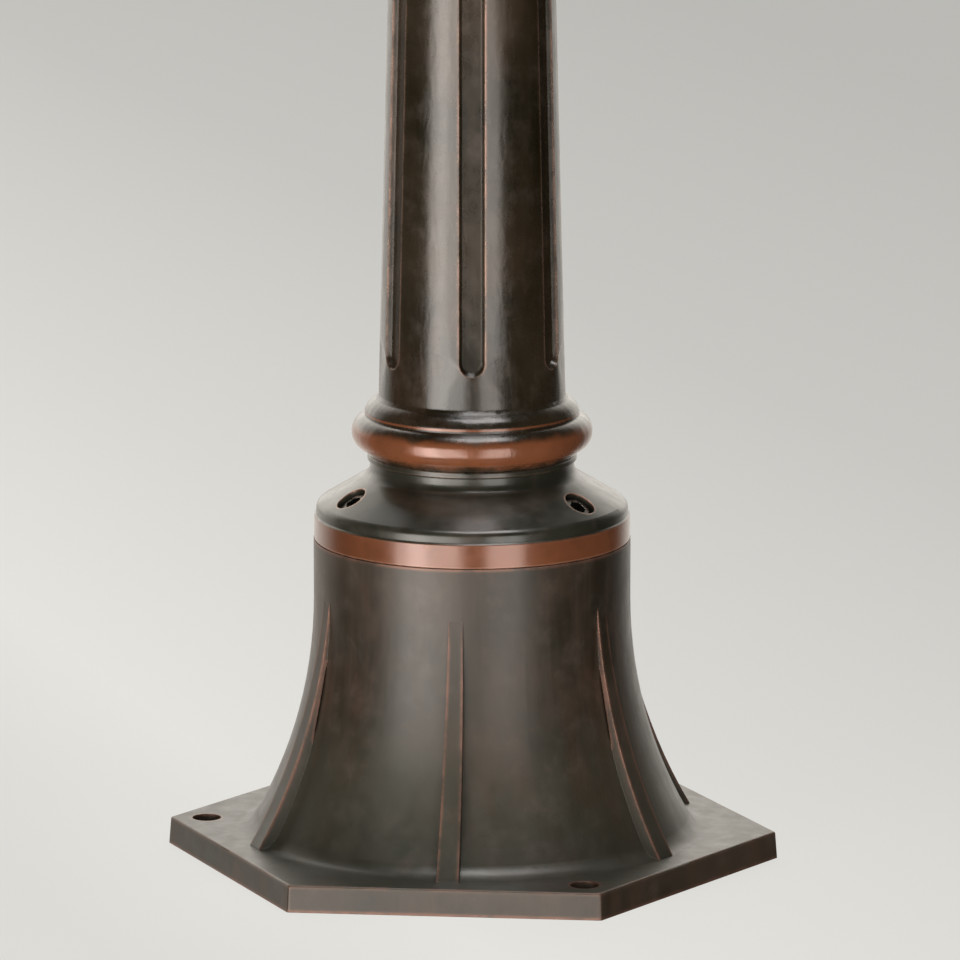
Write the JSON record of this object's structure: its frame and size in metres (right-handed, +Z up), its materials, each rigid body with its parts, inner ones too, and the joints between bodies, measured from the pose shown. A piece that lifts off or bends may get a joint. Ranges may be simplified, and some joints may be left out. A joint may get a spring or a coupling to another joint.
{
  "type": "street clock",
  "caption": "Two-faced clock on a fluted post: hexagonal bolt-down plate, ribbed bell foot, tapered shaft, slim upper tube and a round case with hinged glazed doors on both sides.",
  "frame": {"origin": "centre of the hexagonal base plate's underside, on the ground", "axes": "+Z up the post; the front dial faces -Y and the back dial +Y; two corners of the base plate lie on X"},
  "size_m": [0.333, 0.1744, 1.905],
  "materials": {
    "bronze_casting": "satin dark bronze patina over cast aluminium, rubbed copper on its edges",
    "dark_screws": "blackened",
    "steel": "satin",
    "carrier_plate": "satin",
    "gear_brass": "satin",
    "dial_enamel": "gloss enamel",
    "hand_black": "satin black lacquer",
    "motor_plastic": "matte",
    "battery_shell": "gloss sleeve",
    "seal_rubber": "matte",
    "dial_glass": "gloss"
  },
  "bodies": {
    "post": {"base_casting": "bronze_casting", "base_collar": "bronze_casting", "collar_screws": "dark_screws", "lower_shaft": "bronze_casting", "shaft_lock_nut": "steel", "mid_collar": "bronze_casting", "set_screws": "dark_screws", "upper_shaft": "bronze_casting", "capital": "bronze_casting", "head_stud": "steel", "head_nut": "steel", "case_drum": "bronze_casting", "movement_carrier": "carrier_plate", "carrier_screws": "steel", "finial": "bronze_casting", "dial_screws": "gear_brass", "movement_pillars": "gear_brass", "hinge_screws": "dark_screws", "intermediate_studs": "steel", "door_seals": "seal_rubber", "batteries": "battery_shell", "battery_clips": "motor_plastic", "front_dial": "dial_enamel", "front_movement_plate": "gear_brass", "front_motor_case": "motor_plastic", "front_hinge_leaf": "bronze_casting", "front_hinge_pin": "gear_brass", "back_dial": "dial_enamel", "back_movement_plate": "gear_brass", "back_motor_case": "motor_plastic", "back_hinge_leaf": "bronze_casting", "back_hinge_pin": "gear_brass"},
    "front_minute": {"front_minute_arbor": "steel", "front_centre_wheel": "gear_brass", "front_cannon_pinion": "steel", "front_minute_hand": "hand_black", "front_hand_nut": "gear_brass"},
    "front_hour": {"front_hour_wheel": "gear_brass", "front_hour_hand": "hand_black"},
    "front_intermediate": {"front_intermediate_wheel": "gear_brass"},
    "front_motor_shaft": {"front_motor_pinion": "steel"},
    "front_door": {"front_bezel": "bronze_casting", "front_glass": "dial_glass", "front_glass_ring": "steel"},
    "front_latch": {"front_door_knob": "gear_brass", "front_latch_cam": "steel"},
    "back_minute": {"back_minute_arbor": "steel", "back_centre_wheel": "gear_brass", "back_cannon_pinion": "steel", "back_minute_hand": "hand_black", "back_hand_nut": "gear_brass"},
    "back_hour": {"back_hour_wheel": "gear_brass", "back_hour_hand": "hand_black"},
    "back_intermediate": {"back_intermediate_wheel": "gear_brass"},
    "back_motor_shaft": {"back_motor_pinion": "steel"},
    "back_door": {"back_bezel": "bronze_casting", "back_glass": "dial_glass", "back_glass_ring": "steel"},
    "back_latch": {"back_door_knob": "gear_brass", "back_latch_cam": "steel"}
  },
  "joints": [
    {"name": "front_minute", "type": "hinge", "parent": "post", "child": "front_minute", "pos_m": [0, -0.02, 1.667], "axis": [0, 1, 0], "continuous": true},
    {"name": "front_hour", "type": "hinge", "parent": "post", "child": "front_hour", "pos_m": [0, -0.035, 1.667], "axis": [0, 1, 0], "continuous": true},
    {"name": "front_intermediate", "type": "hinge", "parent": "post", "child": "front_intermediate", "pos_m": [0.024, -0.033, 1.667], "axis": [0, 1, 0], "continuous": true},
    {"name": "front_motor", "type": "hinge", "parent": "post", "child": "front_motor_shaft", "pos_m": [0, -0.012, 1.64], "axis": [0, 1, 0], "continuous": true},
    {"name": "front_door_hinge", "type": "hinge", "parent": "post", "child": "front_door", "pos_m": [-0.162, -0.0565, 1.667], "axis": [0, 0, -1], "range_deg": [0, 110]},
    {"name": "front_latch_turn", "type": "hinge", "parent": "front_door", "child": "front_latch", "pos_m": [0.1418, -0.055, 1.667], "axis": [0, -1, 0], "range_deg": [0, 90]},
    {"name": "back_minute", "type": "hinge", "parent": "post", "child": "back_minute", "pos_m": [0, 0.02, 1.667], "axis": [0, -1, 0], "continuous": true},
    {"name": "back_hour", "type": "hinge", "parent": "post", "child": "back_hour", "pos_m": [0, 0.035, 1.667], "axis": [0, -1, 0], "continuous": true},
    {"name": "back_intermediate", "type": "hinge", "parent": "post", "child": "back_intermediate", "pos_m": [-0.024, 0.033, 1.667], "axis": [0, -1, 0], "continuous": true},
    {"name": "back_motor", "type": "hinge", "parent": "post", "child": "back_motor_shaft", "pos_m": [0, 0.012, 1.64], "axis": [0, -1, 0], "continuous": true},
    {"name": "back_door_hinge", "type": "hinge", "parent": "post", "child": "back_door", "pos_m": [0.162, 0.0565, 1.667], "axis": [0, 0, -1], "range_deg": [0, 110]},
    {"name": "back_latch_turn", "type": "hinge", "parent": "back_door", "child": "back_latch", "pos_m": [-0.1418, 0.055, 1.667], "axis": [0, 1, 0], "range_deg": [0, 90]}
  ],
  "couplings": [
    {"joint": "front_hour", "follows": "front_minute", "ratio": 0.083333},
    {"joint": "front_intermediate", "follows": "front_minute", "ratio": -0.33333},
    {"joint": "front_motor", "follows": "front_minute", "ratio": -5},
    {"joint": "back_hour", "follows": "back_minute", "ratio": 0.083333},
    {"joint": "back_intermediate", "follows": "back_minute", "ratio": -0.33333},
    {"joint": "back_motor", "follows": "back_minute", "ratio": -5}
  ]
}
